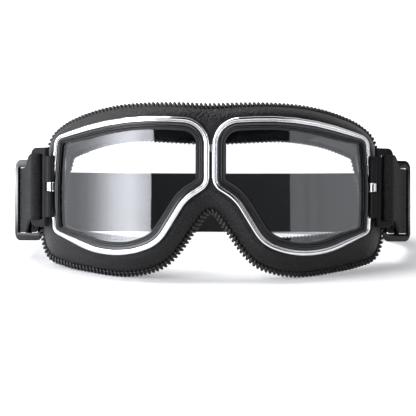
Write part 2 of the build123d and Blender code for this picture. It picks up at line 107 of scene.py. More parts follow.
# The eyes: the left outline's corners as shares of its half size, with their scaled radii, and
# the stretch of x over which the rim turns away and its inset shrinks
EYE_MIDDLE = Vector((38.8, 47.4))
EYE_HALF = (44.0, 36.0)
EYE_CORNERS = (
    (1.013, -0.028, 22.0), (0.959, 0.689, 0.6), (0.227, 1.000, 13.6), (-0.868, 0.928, 1.4),
    (-0.868, -0.033, 0.8), (-0.614, -0.222, -2.2), (-0.291, -0.861, 2.0), (0.091, -1.022, 4.2),
    (0.500, -0.969, 4.3), (0.982, -0.675, 0.55),
)
CORNER_SCALE = 10.0
CORNER_TURN = radians(5)
OUTLINE_STEP = 2.2
SIDE_TURN = (66.0, 82.0)
SIDE_THINNING = 0.34

# Sections of the bands round an eye: inset from its outline, height above the lens, own radius
FACE_RADIUS = 95.0
RIM_PROFILE = (
    (0.0, -2.5, 0.1), (0.0, 1.8, 0.6), (0.5, 2.85, 0.7), (1.6, 2.95, 0.6), (2.05, 1.9, 0.2),
    (2.2, 1.85, 0.1), (2.32, 2.2, 0.2), (2.7, 2.05, 0.2), (2.7, -2.5, 0.1),
)
FRAME_PROFILE = (
    (2.78, -2.5, 0.1), (2.78, 1.2, 0.2), (3.0, 1.8, 0.3), (4.3, 1.55, 0.3), (4.5, 1.15, 0.12),
    (4.7, 1.15, 0.12), (4.85, 1.6, 0.25), (5.3, 1.5, 0.3), (5.36, 0.8, 0.15), (5.36, -2.5, 0.1),
)
GASKET_PROFILE = (
    (5.45, -2.45), (5.45, 0.5), (5.65, 0.75), (6.55, 0.75), (6.75, 0.5), (6.75, 0.06),
    (6.2, 0.06), (6.2, -1.86), (6.75, -1.86), (6.75, -2.45),
)
MOST_ROUNDING = 0.45
LENS_INSET = 6.25
LENS_THICKNESS = 1.8
LENS_RINGS = 22

# The leather cover: from the seam's edge to its tuck under the rim, with the web over the nose.
# A cut for the eyes is its inset and the depths that it starts and ends at
COVER_START = 0.9
COVER_TUCK = 1.6
COVER_RISE = 0.7
COVER_LIFT = 0.2
COVER_SWELL = 2.5
COVER_FULLNESS = 2.4
COVER_NARROWING = 0.3
COVER_CUT = (-0.15, -20, 84)
COVER_NOTCH_GAP = 0.3
COVER_SHARES = (
    0.0, 0.04, 0.09, 0.16, 0.24, 0.33, 0.42, 0.51, 0.60, 0.68, 0.75, 0.81, 0.86, 0.90, 0.94,
    0.97, 1.0,
)
WEB_COLUMNS = 9
WEB_ROWS = 30
WEB_RISE = 1.6
WEB_ROUNDING = 2.0
WEB_WRAP = (0, 0.9)
NOSE_REACH = 15
NOSE_HEIGHTS = (38, 85)
NOSE_PASSES = 40
NOSE_PULL = 0.6
CREASE_DEPTH = 0.9
CREASE_WIDTH = 1.1

# The cushion and its lining, which starts and stops at places inward and behind
LINING_START = (1.1, 0.5)
LINING_STOP = (1.4, 4.2)
LINING_SWELL = 5.0
LINING_FULLNESS = 2.2
LINING_THICKNESS = 0.8
LINING_STEPS = 12
CUSHION_COLUMNS = 240
CUSHION_FRONT = (0.28, 0.42, 0.56, 0.70, 0.84, 0.95)
CUSHION_REAR = (0.92, 0.78, 0.62, 0.46, 0.30, 0.16)
CUSHION_DEPTHS = (2.4, 1.6)
CUSHION_EDGE = 2.6
CUSHION_LIP = 0.6
CUSHION_CUT = (-0.4, -20, 26)
CUSHION_NOTCH_GAP = 0.4
BACK_FRAME_RADIUS = 89.7
BACK_FRAME_GAP = 0.4

# The laces: places inward and behind, from the seam and from the opening's edge
LACE_COLUMNS = 480
SEAM_LACE_AT = (0.75, -0.1)
TRIM_LACE_AT = (-1.0, 4.5)

# Hinge notches, brackets and sliders
NOTCH_RADIUS = 2.4
NOTCH_HEIGHT = 32.2
NOTCH_FORWARD = 6.0
NOTCH_STEPS = 32
BRACKET_ANGLE = radians(42)
BAR_AT = 11.0
BAR = HINGE.xy + BAR_AT * Vector((cos(BRACKET_ANGLE), sin(BRACKET_ANGLE)))
SLIDER_AT = 27.0
SLIDER_SIZE = (22.0, 43.0, 1.6)
SLIDER_TURN = radians(30)
SLIDER_CORNER = 4.5
SLIDER_BAR = 2.4
SLIDER_BEVEL = 0.55
WINDOW_HEIGHT = 34.8
WINDOW_DEPTH = 10
WINDOW_CORNER = 1.0
PLATE_STEPS = 8

# The strap: its free tail, the layer round the bar, the band, the corner and the back
STRAP_ANGLE = radians(13)
STRAP_WAY = Vector((sin(STRAP_ANGLE), cos(STRAP_ANGLE)))
STRAP_WIDTH = 33.0
STRAP_THICKNESS = 1.5
STRAP_EDGE = 0.5
STRAP_ROUNDING = 0.45
STRAP_COLUMNS = 16
STRAP_SPREAD = 0.04
SPREAD_RUN = (85, 110)
LAYER = 2.55
TAIL = 47.0
SPLIT_RADIUS = 61.5
CORNER_RADIUS = 46.0
BACK_RADIUS = 190.0
DROOP = 6.5
DROOP_RUN = (3.0, 20.0)
TAIL_STEPS, TURN_STEPS, BAND_STEPS, CORNER_STEPS, BACK_STEPS = 26, 12, 30, 40, 32

# The stage, in metres. A softbox has its first and last azimuth in degrees, its heights with
# their strengths, the strengths across it as (share, strength), and its colour
SOFTBOXES = {
    "left_softbox": (
        (-23.5, -120), ((0.0, 0.9), (0.25, 1.0), (0.6, 0.8), (1.6, 0.5)),
        (
            (0.0, 4.9), (0.155, 8.2), (0.268, 6.4), (0.336, 4.4), (0.406, 2.8), (0.474, 1.8),
            (0.557, 1.4), (0.69, 1.4), (0.715, 6.0), (1.0, 8.0),
        ),
        (0.925, 0.94, 1.0),
    ),
    "right_softbox": (
        (35, 90), ((0.0, 1.0), (0.28, 1.0), (0.34, 0.8), (0.9, 0.6)),
        ((0.0, 1.0), (0.14, 1.12), (0.2, 0.92), (0.3, 1.15), (0.36, 0.98), (0.5, 1.08), (1.0, 1.0)),
        (0.94, 0.955, 1.0),
    ),
}
SOFTBOX_MIDDLE = Vector((0, -0.06, 0))
SOFTBOX_COLUMNS = 24
FLOOR_REACH = 2
CAMERA_LENS_MM = 220.5
CAMERA_TARGET = Vector((-0.0015, -0.0656, 0.0362))
CAMERA_AZIMUTH, CAMERA_ELEVATION = radians(1.0), radians(9.1)
CAMERA_DISTANCE = 1.3


# Node trees

class Socket:
    """A node's output, which Python's operators join to others with Math nodes."""

    def __init__(self, maker, link):
        self.maker = maker
        self.link = link

    def join(self, operation, *values):
        return self.maker.node("ShaderNodeMath", {"operation": operation}, dict(enumerate(values)))

    def beside(self, output):
        """Another output of the same node."""
        return Socket(self.maker, self.link.node.outputs[output])

    def __add__(self, other): return self.join("ADD", self, other)
    def __radd__(self, other): return self.join("ADD", other, self)
    def __sub__(self, other): return self.join("SUBTRACT", self, other)
    def __rsub__(self, other): return self.join("SUBTRACT", other, self)
    def __mul__(self, other): return self.join("MULTIPLY", self, other)
    def __rmul__(self, other): return self.join("MULTIPLY", other, self)

    def sine(self): return self.join("SINE", self)
    def absolute(self): return self.join("ABSOLUTE", self)
    def clamp(self): return self.join("MAXIMUM", self.join("MINIMUM", self, 1.0), 0.0)

    def step(self, low, high):
        """0 below low, 1 above high, and smooth between them."""
        return self.maker.node(
            "ShaderNodeMapRange", {"interpolation_type": "SMOOTHSTEP"},
            {"Value": self, "From Min": low, "From Max": high},
        )


class Maker:
    """Adds nodes to one tree."""

    def __init__(self, tree):
        self.tree = tree

    def node(self, kind, settings=None, inputs=None, out=0):
        """A node of this kind, with its settings, its sockets' values or links, and one output."""
        made = self.tree.nodes.new(kind)
        for name, value in (settings or {}).items():
            if name == "stops":
                ramp = made.color_ramp
                while len(ramp.elements) < len(value):
                    ramp.elements.new(0.5)
                for element, (place, strength) in zip(ramp.elements, value):
                    element.position = place
                    element.color = (strength, strength, strength, 1)
            else:
                setattr(made, name, value)
        for name, value in (inputs or {}).items():
            if isinstance(value, Socket):
                self.tree.links.new(value.link, made.inputs[name])
            else:
                made.inputs[name].default_value = value
        return Socket(self, made.outputs[out])


def new_material(name):
    """An empty node material, its maker, and the node that its surface goes to."""
    material = bpy.data.materials.new(name)
    material.use_nodes = True
    material.node_tree.nodes.clear()
    output = material.node_tree.nodes.new("ShaderNodeOutputMaterial")
    return material, Maker(material.node_tree), output


def principled(name, colour, roughness, build, **sockets):
    """A Principled material. build(maker) returns the sockets that vary over the surface, and the
    others are given by their names with underscores."""
    material, maker, output = new_material(name)
    inputs = {"Base Color": (*colour, 1), "Roughness": roughness}
    inputs.update({key.replace("_", " "): value for key, value in sockets.items()})
    inputs.update(build(maker))
    surface = maker.node("ShaderNodeBsdfPrincipled", None, inputs)
    maker.tree.links.new(surface.link, output.inputs["Surface"])
    return material


def noise(maker, place, scale, detail=3.0, roughness=0.5):
    """Noise from 0 to 1, at this many cells a metre."""
    return maker.node(
        "ShaderNodeTexNoise", None,
        {"Vector": place, "Scale": scale, "Detail": detail, "Roughness": roughness},
    )


def object_place(maker):
    return maker.node("ShaderNodeTexCoord", None, None, "Object")


def split(maker, vector):
    """The x, y and z of a vector."""
    x = maker.node("ShaderNodeSeparateXYZ", None, {"Vector": vector})
    return x, x.beside(1), x.beside(2)


def split_uv(maker, layer):
    """The two places on the piece's own UV map of this name."""
    return split(maker, maker.node("ShaderNodeUVMap", {"uv_map": layer}))[:2]


def ray_kinds(maker, *kinds):
    """1 for each kind of ray that is being traced, else 0."""
    return [maker.node("ShaderNodeLightPath", None, None, f"Is {kind} Ray") for kind in kinds]


def tinted(maker, share, low, high):
    """A colour between two, by a share from 0 to 1."""
    return maker.node(
        "ShaderNodeMix", {"data_type": "RGBA"}, {0: share, 6: (*low, 1), 7: (*high, 1)}, 2,
    )


def bump(maker, height, distance, strength=1.0):
    return maker.node(
        "ShaderNodeBump", None, {"Height": height, "Distance": distance, "Strength": strength},
    )


def scaled(colour, factor):
    return tuple(channel * factor for channel in colour)


# Shapes

def smooth(share):
    """A share held between 0 and 1 and eased at both ends."""
    share = min(max(share, 0), 1)
    return share * share * (3 - 2 * share)


def run_lengths(points):
    """The length of a line so far, at each of its points."""
    run = [0.0]
    for a, b in zip(points, points[1:]):
        run.append(run[-1] + (b - a).length)
    return run


def seam_depth(x):
    return SEAM_DEPTH + x * x / (2 * SEAM_WRAP)


def face_y(radius, x):
    """Depth of the cylinder of this radius round a face axis, at this place across."""
    return FACE_AXIS[1] - sqrt(max(radius**2 - (abs(x) - FACE_AXIS[0]) ** 2, 0))


def eye_outline(inset):
    """Points (x, z) round the left eye's outline, moved inward by inset. Every inset gives the
    same number of points, at matching places."""
    places = [
        Vector((EYE_MIDDLE.x + x * EYE_HALF[0], EYE_MIDDLE.y + z * EYE_HALF[1]))
        for x, z, _ in EYE_CORNERS
    ]
    corners = []
    for index, place in enumerate(places):
        way_in = (place - places[index - 1]).normalized()
        way_out = (places[(index + 1) % len(places)] - place).normalized()
        normal = Vector((-way_in.y - way_out.y, way_in.x + way_out.x)) / (1 + way_in.dot(way_out))
        size = EYE_CORNERS[index][2] * CORNER_SCALE
        radius = inset - size if size < 0 else max(size - inset, 1.0)
        turn = way_in.angle_signed(way_out)
        reach = radius * tan(abs(turn) / 2)
        corners.append((place + inset * normal, way_in, way_out, radius, -turn, reach))
    points = []
    for index, (corner, way_in, way_out, radius, turn, reach) in enumerate(corners):
        steps = max(4, ceil(abs(turn) / CORNER_TURN))
        side = 1 if turn > 0 else -1
        start = corner - reach * way_in
        centre = start + side * radius * Vector((-way_in.y, way_in.x))
        for step in range(steps + 1):
            points.append(centre + Matrix.Rotation(turn * step / steps, 2) @ (start - centre))
        after = (index + 1) % len(corners)
        next_corner, next_way, *_, next_reach = corners[after]
        end = next_corner - next_reach * next_way
        steps = max(3, ceil((places[after] - places[index]).length / OUTLINE_STEP))
        for step in range(1, steps):
            points.append((corner + reach * way_out).lerp(end, step / steps))
    return points


def eye_places(inset):
    """The outline moved inward, and less so at the outer side, where the rim turns away."""
    start, end = SIDE_TURN
    places = []
    for outer, inner in zip(eye_outline(0), eye_outline(inset)):
        turned = smooth((outer.x - start) / (end - start))
        places.append(outer.lerp(inner, 1 - SIDE_THINNING * turned))
    return places


def grid_faces(rows, columns, close_rows, close_columns):
    """Quads between rows of vertices laid out one after another."""
    faces = []
    for r in range(rows if close_rows else rows - 1):
        for c in range(columns if close_columns else columns - 1):
            a, b = r * columns, (r + 1) % rows * columns
            d = (c + 1) % columns
            faces.append((a + c, a + d, b + d, b + c))
    return faces


def link(name, mesh):
    """A new object of this mesh in the scene."""
    piece = bpy.data.objects.new(name, mesh)
    bpy.context.scene.collection.objects.link(piece)
    return piece


def new_piece(name, points, faces, sharp=40):
    """An object from points of the upright mask, in millimetres, its place in its mesh."""
    mesh = bpy.data.meshes.new(name)
    mesh.from_pydata([SEAT @ Vector(p) for p in points], [], faces)
    tidy_mesh(mesh, sharp)
    return link(name, mesh)


def tidy_mesh(mesh, sharp):
    """Merges doubles, turns the faces outward and smooths all but the sharp edges."""
    work = bmesh.new()
    work.from_mesh(mesh)
    bmesh.ops.remove_doubles(work, verts=work.verts, dist=MERGE_REACH)
    bmesh.ops.recalc_face_normals(work, faces=work.faces)
    work.to_mesh(mesh)
    work.free()
    mesh.shade_smooth()
    mesh.set_sharp_from_angle(angle=radians(sharp))


def plain_mesh(piece):
    """Turns the piece's evaluated shape into its own mesh and clears its modifiers."""
    evaluated = piece.evaluated_get(bpy.context.evaluated_depsgraph_get())
    mesh = bpy.data.meshes.new_from_object(evaluated)
    old = piece.data
    piece.modifiers.clear()
    piece.data = mesh
    mesh.name = piece.name
    bpy.data.meshes.remove(old)


def apply_modifiers(piece, sharp):
    plain_mesh(piece)
    tidy_mesh(piece.data, sharp)


def thicken(piece, thickness, sharp):
    """Gives a sheet its thickness, inward from its outer face."""
    wall = piece.modifiers.new("thickness", "SOLIDIFY")
    wall.thickness = thickness
    wall.offset = -1
    apply_modifiers(piece, sharp)


def cut(piece, cutter, sharp=40):
    """Takes the cutter's volume out of the piece, and removes the cutter."""
    whole = len(piece.data.polygons)
    modifier = piece.modifiers.new("cut", "BOOLEAN")
    modifier.operation = "DIFFERENCE"
    modifier.solver = "MANIFOLD"
    modifier.object = cutter
    bpy.context.view_layer.update()
    apply_modifiers(piece, sharp)
    if len(piece.data.polygons) < whole / 2:
        raise RuntimeError(f"{piece.name} was cut away")
    bpy.data.objects.remove(cutter)


def prisms(name, pairs):
    """A piece made of prisms, each between a pair of like outlines."""
    points, faces = [], []
    for low, high in pairs:
        base, count = len(points), len(low)
        points += low + high
        sides = grid_faces(2, count, False, True)
        faces += [tuple(base + corner for corner in face) for face in sides]
        faces += [tuple(range(start, start + count)) for start in (base, base + count)]
    return new_piece(name, points, faces)


def plate(name, middle, along, size, corner):
    """A flat upright plate with rounded corners, along this way in plan."""
    length, height, thickness = size
    across = Vector((along.y, -along.x, 0))
    outline = []
    for a, b, start in ((1, 1, 0), (-1, 1, 90), (-1, -1, 180), (1, -1, 270)):
        for step in range(PLATE_STEPS + 1):
            turn = radians(start + 90 * step / PLATE_STEPS)
            ahead = a * (length / 2 - corner) + corner * cos(turn)
            up = b * (height / 2 - corner) + corner * sin(turn)
            outline.append(middle + along * ahead + Vector((0, 0, up)))
    depths = (-thickness / 2, thickness / 2)
    return prisms(name, [[[p + across * depth for p in outline] for depth in depths]])


def hinge_cutter(radius, signs, forward=0.0):
    """Upright cylinders round the bracket hinges, which may be drawn out towards the front."""
    angles = [2 * pi * step / NOTCH_STEPS for step in range(NOTCH_STEPS)]
    plan = [
        (HINGE.x + radius * cos(angle), HINGE.y + radius * sin(angle) - forward * (angle > pi))
        for angle in angles
    ]
    heights = (HINGE.z - NOTCH_HEIGHT / 2, HINGE.z + NOTCH_HEIGHT / 2)
    return prisms(
        "cutter", [[[(sign * x, y, z) for x, y in plan] for z in heights] for sign in signs],
    )


def eye_cutter(inset, front, back):
    """Both eyes' outlines, drawn through the mask from front to back."""
    outline = eye_outline(inset)
    return prisms(
        "cutter",
        [[[(sign * p.x, y, p.y) for p in outline] for y in (front, back)] for _, sign in SIDES],
    )


def eye_ring(name, sign, profile):
    """A closed band round one eye. The profile's points are the inset from the outline, and the
    height above the lens's surface."""
    columns = [
        [(sign * p.x, face_y(FACE_RADIUS + height, p.x), p.y) for p in eye_places(inset)]
        for inset, height in profile
    ]
    points = [p for column in columns for p in column]
    return new_piece(name, points, grid_faces(len(profile), len(columns[0]), True, True))


def rounded(points, steps):
    """A closed profile with its corners rounded, each by its own radius."""
    made = []
    count = len(points)
    for index, (x, y, radius) in enumerate(points):
        here = Vector((x, y))
        before = Vector(points[index - 1][:2]) - here
        after = Vector(points[(index + 1) % count][:2]) - here
        size = min(radius, before.length * MOST_ROUNDING, after.length * MOST_ROUNDING)
        a = here + before.normalized() * size
        b = here + after.normalized() * size
        for step in range(steps + 1):
            t = step / steps
            made.append(tuple((1 - t) ** 2 * a + 2 * t * (1 - t) * here + t * t * b))
    return made


def finder(points):
    """A tree that finds the nearest of the points."""
    tree = KDTree(len(points))
    for index, p in enumerate(points):
        tree.insert(p, index)
    tree.balance()
    return tree


def origins(mesh, points):
    """For each vertex, the index of the mask's point that it lies at or nearest to."""
    tree = finder([SEAT @ Vector(p) for p in points])
    return [tree.find(vertex.co)[1] for vertex in mesh.vertices]


class StationCurves:
    """Smooth closed curves through values given at the mask's stations, both halves."""

    def __init__(self, count):
        seam = self.both([on_section(station, 0, 0) for station in STATIONS])
        self.knots = run_lengths(seam + seam[:1])
        self.length = self.knots[-1]
        steps = range(FINE_STEPS + 1)
        run = run_lengths([self.at(seam, self.length * i / FINE_STEPS) for i in steps])
        self.perimeter = run[-1]
        self.places = []
        index = 0
        for step in range(count):
            goal = self.perimeter * step / count
            while run[index + 1] < goal:
                index += 1
            share = (goal - run[index]) / (run[index + 1] - run[index])
            self.places.append(self.length * (index + share) / FINE_STEPS)

    @staticmethod
    def both(half):
        """Values of the left half and their mirror images, round the whole mask."""
        half = [Vector(v) for v in half]
        return half + [Vector((-v.x, *v[1:])) for v in half[-2:0:-1]]

    def at(self, values, place):
        """The smooth curve through the values, at this place along the stations."""
        count = len(values)
        knots = self.knots
        place %= self.length
        index = next(i for i in range(count) if knots[i + 1] >= place)

        def knot(i):
            return knots[i % count] + self.length * (i // count)

        def slope(i):
            before, after = knot(i) - knot(i - 1), knot(i + 1) - knot(i)
            a = (values[i % count] - values[(i - 1) % count]) / before
            b = (values[(i + 1) % count] - values[i % count]) / after
            return (a * after + b * before) / (before + after)

        width = knot(index + 1) - knot(index)
        t = (place - knot(index)) / width
        a, b = values[index % count], values[(index + 1) % count]
        return (
            (2 * t**3 - 3 * t**2 + 1) * a + (t**3 - 2 * t**2 + t) * width * slope(index)
            + (3 * t**2 - 2 * t**3) * b + (t**3 - t**2) * width * slope(index + 1)
        )

    def curve(self, profile, *place):
        """Evenly spread points of the closed curve through this place of the profile at each
        station, evened out."""
        values = self.both([profile(station, *place) for station in STATIONS])
        points = [self.at(values, spot) for spot in self.places]
        for _ in range(EVENING_PASSES):
            after = points[1:] + points[:1]
            points = [(points[i - 1] + 2 * p + after[i]) / 4 for i, p in enumerate(points)]
        return points


def on_section(station, inward, behind):
    """A place on a station's section, from its seam point towards the rim and to the back."""
    x, z = station[0] * HALF_WIDTH, station[1] * HEIGHT
    way = Vector((station[2] * HALF_WIDTH - x, station[3] * HEIGHT - z)).normalized()
    return (x + inward * way.x, seam_depth(x) + behind, z + inward * way.y)


def cover_profile(station, share, depth=0.0):
    """A place on the cover's section, from the seam at 0 to the rim side at 1."""
    x, rim_x = station[0] * HALF_WIDTH, station[2] * HALF_WIDTH
    width = hypot(rim_x - x, (station[3] - station[1]) * HEIGHT)
    reach = width + COVER_TUCK - COVER_START
    drop = face_y(FACE_RADIUS + COVER_RISE, rim_x) - seam_depth(x)
    length = hypot(reach, drop)
    swell = (COVER_SWELL - depth) * (1 - abs(2 * share - 1) ** COVER_FULLNESS)
    inward = COVER_START + reach * share + swell * drop / length - depth * COVER_NARROWING
    behind = drop * share - swell * reach / length - COVER_LIFT * (1 - share)
    return on_section(station, inward, behind)


def lining_profile(station, share, depth=0.0):
    """A place on the lining's section, from the seam at 0 to the opening's trim at 1."""
    start = LINING_START[0] + depth
    reach = station[4] * HEIGHT - LINING_STOP[0]
    swell = (LINING_SWELL - depth) * (1 - abs(2 * share - 1) ** LINING_FULLNESS)
    behind = LINING_START[1] + (LINING_STOP[1] - depth) * share + swell
    return on_section(station, start + (reach - start) * share, behind)


def strap_plan():
    """Points of the strap's middle line in plan, from its free tail, round the bar and to the
    middle of the back."""
    side = Vector((STRAP_WAY.y, -STRAP_WAY.x))
    inner = BAR - side * LAYER - HINGE.xy
    band = sqrt(SPLIT_RADIUS**2 - inner.dot(side) ** 2) - inner.dot(STRAP_WAY)
    points = []
    for step in range(TAIL_STEPS):
        points.append(BAR + STRAP_WAY * TAIL * (1 - step / TAIL_STEPS) + side * LAYER)
    for step in range(TURN_STEPS + 1):
        angle = pi * step / TURN_STEPS
        points.append(BAR + side * LAYER * cos(angle) - STRAP_WAY * LAYER * sin(angle))
    for step in range(1, BAND_STEPS + 1):
        points.append(BAR + STRAP_WAY * band * step / BAND_STEPS - side * LAYER)
    corner = points[-1] - side * CORNER_RADIUS
    back_y = corner.y - sqrt((BACK_RADIUS - CORNER_RADIUS) ** 2 - corner.x**2)
    end = atan2(corner.y - back_y, corner.x)
    for step in range(1, CORNER_STEPS + 1):
        angle = -STRAP_ANGLE + (end + STRAP_ANGLE) * step / CORNER_STEPS
        points.append(corner + CORNER_RADIUS * Vector((cos(angle), sin(angle))))
    for step in range(1, BACK_STEPS + 1):
        angle = end + (pi / 2 - end) * step / BACK_STEPS
        points.append(Vector((0, back_y)) + BACK_RADIUS * Vector((cos(angle), sin(angle))))
    return points


def strap_middle(y):
    """The height of the strap's middle at this depth: it droops behind the bracket."""
    start, end = DROOP_RUN
    return HINGE.z - DROOP * smooth((y - BAR.y - start) / (end - start))


# Finishes

def chrome_finish(colour):
    """Polished chrome with a faint cloud of handling marks."""
    def build(maker):
        place = object_place(maker)
        cloud = noise(maker, place, 220, 2)
        fine = noise(maker, place, 2600, 2)
        return {
            "Roughness": 0.05 + 0.05 * cloud + 0.03 * fine,
            "Base Color": tinted(maker, cloud, (0.80, 0.80, 0.81), colour),
        }
    return principled("polished_chrome", colour, 0.07, build, Metallic=1.0)


def moulded_finish(name, colour, roughness, grain, depth, shine):
    """Moulded plastic with a fine bead-blasted texture, paler where it is rubbed."""
    def build(maker):
        place = object_place(maker)
        texture = noise(maker, place, grain, 4, 0.6)
        cloud = noise(maker, place, 90, 3)
        lighter = tuple(min(channel * 1.7 + 0.004, 1) for channel in colour)
        return {
            "Base Color": tinted(maker, cloud, colour, lighter),
            "Roughness": roughness - 0.07 + 0.14 * cloud,
            "Normal": bump(maker, texture, depth, 0.6),
        }
    return principled(name, colour, roughness, build, Specular_IOR_Level=shine)


def lacquer_finish(colour, height):
    """Black lacquer whose clear coat is thinned by rubbing towards the ends of the slider."""
    def build(maker):
        place = object_place(maker)
        ends = (split(maker, place)[2] - height).absolute().step(0.008, 0.0195)
        return {
            "Roughness": 0.12 + 0.14 * noise(maker, place, 90, 3),
            "Coat Weight": 1 - ends,
            "Normal": bump(maker, noise(maker, place, 2500, 4, 0.6), 0.00001, 0.6),
        }
    return principled(
        "slider_lacquer", colour, 0.19, build, Specular_IOR_Level=0.25, Coat_Roughness=0.1,
    )


def rubber_finish(colour):
    """Dull moulded rubber."""
    def build(maker):
        texture = noise(maker, object_place(maker), 2400, 3)
        return {"Roughness": 0.5 + 0.15 * texture, "Normal": bump(maker, texture, 0.00002, 0.5)}
    return principled("gasket_rubber", colour, 0.55, build)


def lens_finish(colour):
    """Clear hard sheet; shadow rays pass it, so what is behind stays lit."""
    material, maker, output = new_material("clear_lens")
    smear = noise(maker, object_place(maker), 60, 3)
    glass = maker.node(
        "ShaderNodeBsdfPrincipled", None,
        {
            "Base Color": (*colour, 1), "Roughness": (smear - 0.6).clamp() * 0.05,
            "IOR": 1.6, "Transmission Weight": 1.0,
        },
    )
    clear = maker.node("ShaderNodeBsdfTransparent", None, {"Color": (0.95, 0.95, 0.95, 1)})
    shadow, = ray_kinds(maker, "Shadow")
    mixed = maker.node("ShaderNodeMixShader", None, {0: shadow, 1: glass, 2: clear})
    maker.tree.links.new(mixed.link, output.inputs["Surface"])
    return material


def leather_finish(name, colour, grain, depth, shine, puckered=False):
    """Grained leather: rounded pebbles with creases between them, broader folds, soft sheen, and
    painted shade that darkens the creases, with random darker patches. A puckered one is drawn in
    at each stitch of the map that it has along its seam."""
    def build(maker):
        place = object_place(maker)
        wander = maker.node(
            "ShaderNodeTexNoise", None, {"Vector": place, "Scale": 500.0}, "Color",
        )
        shift = maker.node(
            "ShaderNodeVectorMath", {"operation": "SCALE"}, {0: wander, "Scale": 0.0006},
        )
        bent = maker.node("ShaderNodeVectorMath", {"operation": "ADD"}, {0: place, 1: shift})
        pebble = maker.node(
            "ShaderNodeTexVoronoi", {"feature": "SMOOTH_F1"},
            {"Vector": bent, "Scale": grain, "Smoothness": 0.4},
        )
        fine = noise(maker, place, grain * 2.6, 3)
        broad = noise(maker, place, 60, 3)
        height = (1 - pebble) * 0.7 + fine * 0.3 + broad * 1.2
        if puckered:
            stitch, across = split_uv(maker, "wrap")
            pull = (1 - across.step(0.02, 0.24)) * (stitch * (2 * pi)).sine()
            height = height + pull * 2.6
        # Painted shade: the colour darkens in the creases between the pebbles, and in random broad
        # patches
        painted_crease_shade_and_tone = pebble.step(0.0, 0.5) * 0.5 + broad * 0.5
        return {
            "Base Color": tinted(maker, painted_crease_shade_and_tone, colour, scaled(colour, 0.55)),
            "Roughness": 0.27 + 0.14 * broad + 0.12 * pebble,
            "Normal": bump(maker, height, depth, 0.8),
        }
    return principled(name, colour, 0.5, build, Specular_IOR_Level=shine)


def brushed_finish(name, colour):
    """Brushed lining cloth: a soft nap with short fibres."""
    def build(maker):
        place = object_place(maker)
        nap = noise(maker, place, 1500, 6, 0.7)
        broad = noise(maker, place, 120, 3)
        shade = nap * 0.6 + broad * 0.4
        return {
            "Base Color": tinted(maker, shade, scaled(colour, 0.5), scaled(colour, 1.5)),
            "Normal": bump(maker, nap, 0.00025, 0.8),
        }
    return principled(name, colour, 0.95, build, Sheen_Weight=0.25, Specular_IOR_Level=0.2)


def woven_finish(colour):
    """Elastic webbing: ribs along the strap crossed by short knitted stitches, with a dull nap,
    painted lighter where the weave is raised and darker in its grooves as painted highlight and
    shade.
    The weave fades out behind the slider, where it would show through the lens's reflection."""
    rib_pitch, stitch_pitch, plain_from, plain_to = 0.0013, 0.0009, 0.10, 0.15

    def build(maker):
        along, across = split_uv(maker, "webbing")
        place = object_place(maker)
        wander = noise(maker, place, 900, 3)
        rib = (across * (2 * pi / rib_pitch) + wander * 2.4).sine()
        stitch = (along * (2 * pi / stitch_pitch) + rib.absolute() * 1.2 + wander * 3.0).sine()
        nap = noise(maker, place, 2600, 4, 0.7)
        weave = 1 - along.step(plain_from, plain_to) * 0.985
        height = (rib * 0.3 + stitch * 0.3 + nap * 0.9) * weave
        # Painted highlight and shade: the colour follows the weave's height, lighter on raised
        # ribs, stitches and nap and darker in the grooves
        shade = (0.3 + (0.1 * rib + 0.12 * stitch + 0.35 * nap) * weave).clamp()
        return {
            "Base Color": tinted(maker, shade, scaled(colour, 0.4), scaled(colour, 2.4)),
            "Roughness": 0.7 + (0.4 * nap - 0.2) * weave,
            "Normal": bump(maker, height, 0.0004),
        }
    return principled("woven_elastic", colour, 0.8, build, Specular_IOR_Level=0.16)


def repaint(node, material):
    """Gives a CAD node a better material through its object's slots."""
    for place in frame["nodes"][node].material_slots:
        place.link = "OBJECT"
        place.material = material


def settle(piece, body, slot, material, *nodes):
    """A finished piece: its material, the body it moves with, and the CAD nodes it stands for."""
    piece.data.materials.clear()
    piece.data.materials.append(material)
    if body:
        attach(piece, body)
    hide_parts(*nodes)


# What a user may change

def colour_choice(name, description, default):
    return FloatVectorProperty(
        name=name, description=description, subtype="COLOR", default=default, min=0, max=1,
    )


class GogglesLook(PropertyGroup):
    """Colours of the goggles."""

    chrome: colour_choice("Chrome", "Tint of the rims", (0.9, 0.9, 0.91))
    frame: colour_choice("Lens frame", "Colour of the moulded frames", (0.008, 0.008, 0.009))
    gasket: colour_choice("Gasket", "Colour of the rubber gaskets", (0.012, 0.012, 0.012))
    lens: colour_choice("Lens", "Tint of the lenses", (0.93, 0.95, 0.97))
    leather: colour_choice("Leather", "Colour of the mask's leather", (0.0036, 0.0036, 0.0039))
    lining: colour_choice("Lining", "Colour of the lining cloth", (0.009, 0.009, 0.0095))
    strap: colour_choice("Strap", "Colour of the elastic", (0.0100, 0.0100, 0.0104))
    bracket: colour_choice("Bracket", "Colour of the strap brackets", (0.0055, 0.0055, 0.006))
    slider: colour_choice("Slider", "Colour of the sliders' lacquer", (0.006, 0.006, 0.0065))


class GogglesSizes(PropertyGroup):
    """Sizes of the sewn and padded details."""

    stitch_pitch: FloatProperty(
        name="Lace pitch", description="Spacing of the seam's stitches",
        default=0.0023, unit="LENGTH", min=0.001,
    )
    stitch_slant: FloatProperty(
        name="Lace slant", description="How far the stitches lean",
        default=radians(24), subtype="ANGLE",
    )
    trim_pitch: FloatProperty(
        name="Trim pitch", description="Spacing of the opening's stitches",
        default=0.0022, unit="LENGTH", min=0.001,
    )
    leather_thickness: FloatProperty(
        name="Leather thickness", description="Thickness of the cover",
        default=0.0012, unit="LENGTH", min=0.0002,
    )
    rows: IntProperty(
        name="Rows round the mask", description="Sections that the leather is drawn through",
        default=360, min=72,
    )


def colour(name):
    """One of the user's colours."""
    return tuple(getattr(bpy.context.scene.goggles_look, name))


def sizes():
    return bpy.context.scene.goggles_sizes


# Operators

